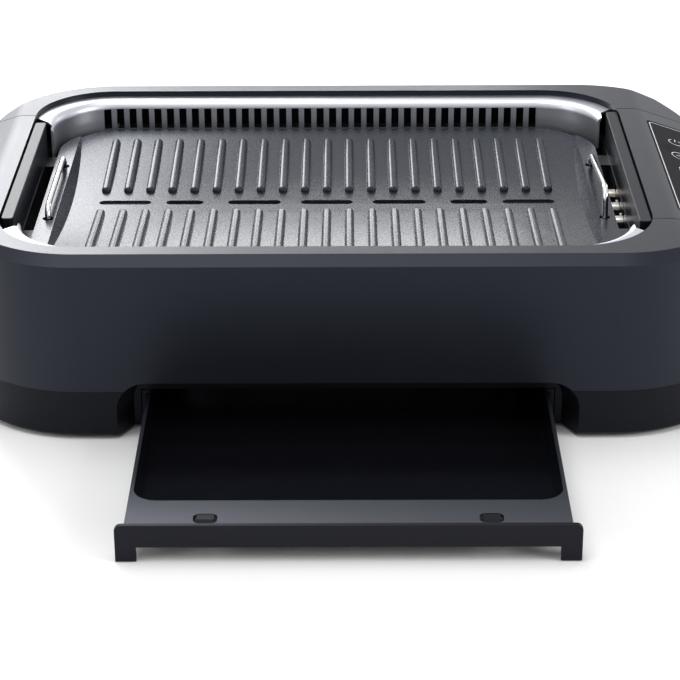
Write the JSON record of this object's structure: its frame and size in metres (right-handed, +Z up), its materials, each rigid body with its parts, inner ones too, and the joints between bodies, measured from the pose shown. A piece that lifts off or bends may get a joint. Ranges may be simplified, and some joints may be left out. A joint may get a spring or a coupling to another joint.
{
  "type": "smokeless electric grill",
  "caption": "Table-top electric grill with a ribbed plate in a vented well, touch controls, a smoke fan and a drip drawer that pulls out of the front; shown without its lid.",
  "frame": {"origin": "on the table under the middle of the body, the drawer not counted", "axes": "+X to the right of a person facing the front, +Y to the back, +Z up"},
  "size_m": [0.526, 0.5139, 0.13],
  "materials": {
    "charcoal_shell": "fine satin moulded plastic, charcoal",
    "black_base": "fine matt moulded plastic, black",
    "touch_glass": "smooth dark printed glass, opaque",
    "circuit_board": "lacquered board",
    "satin_liner": "satin formed sheet",
    "dark_guard": "satin moulded plastic, dark grey",
    "tub_steel": "coated steel sheet",
    "socket_moulding": "heat-proof moulding, black",
    "spring_brass": "bare spring strip",
    "screw_steel": "zinc plated",
    "fan_plastic": "moulded plastic, black",
    "motor_steel": "plain",
    "foot_rubber": "matt",
    "nonstick_plate": "cast, with a grey speckled non-stick coat",
    "heater_steel": "polished sheath",
    "chrome_wire": "bright plated wire",
    "drawer_plastic": "smooth moulded plastic, black"
  },
  "bodies": {
    "housing": {"base_pan": "black_base", "upper_housing": "charcoal_shell", "left_side_panel": "charcoal_shell", "right_control_panel": "charcoal_shell", "touch_glass": "touch_glass", "control_board": "circuit_board", "liner_rear": "satin_liner", "liner_front": "satin_liner", "guard_left": "dark_guard", "guard_right": "dark_guard", "inner_tub": "tub_steel", "plate_rests": "tub_steel", "terminal_block": "socket_moulding", "contact_clips": "spring_brass", "block_screws": "screw_steel", "tub_screws": "screw_steel", "housing_screws": "screw_steel", "rail_left": "black_base", "rail_right": "black_base", "power_board": "circuit_board", "board_screws": "screw_steel", "cord_gland": "black_base", "thermal_cutout": "socket_moulding", "fan_housing": "fan_plastic", "fan_cover": "fan_plastic", "fan_motor": "motor_steel", "fan_screws": "screw_steel", "exhaust_grille": "black_base", "foot_front_left": "foot_rubber", "foot_front_right": "foot_rubber", "foot_rear_left": "foot_rubber", "foot_rear_right": "foot_rubber"},
    "plate": {"grill_plate": "nonstick_plate", "heating_element": "heater_steel", "terminal_plugs": "heater_steel", "temperature_probe": "heater_steel", "terminal_carrier": "socket_moulding"},
    "left_handle": {"handle_left": "chrome_wire"},
    "right_handle": {"handle_right": "chrome_wire"},
    "drawer": {"drip_tray": "drawer_plastic", "drawer_front": "drawer_plastic"},
    "fan": {"fan_impeller": "fan_plastic", "fan_shaft": "motor_steel"}
  },
  "joints": [
    {"name": "plate_tilt", "type": "hinge", "parent": "housing", "child": "plate", "pos_m": [0.203, 0, 0.0938], "axis": [0, 1, 0], "range_deg": [0, 12]},
    {"name": "left_handle_lift", "type": "slide", "parent": "plate", "child": "left_handle", "axis": [0, 0, 1], "range_m": [0, 0.014]},
    {"name": "right_handle_tilt", "type": "hinge", "parent": "plate", "child": "right_handle", "pos_m": [0.1774, 0.051, 0.1079], "axis": [1, 0, 0], "range_deg": [-0.4, 7]},
    {"name": "drawer_slide", "type": "slide", "parent": "housing", "child": "drawer", "axis": [0, -1, 0], "range_m": [-0.161, 0.1]},
    {"name": "fan_spin", "type": "hinge", "parent": "housing", "child": "fan", "pos_m": [0.1955, 0.095, 0.02], "axis": [0, 0, 1], "continuous": true}
  ]
}
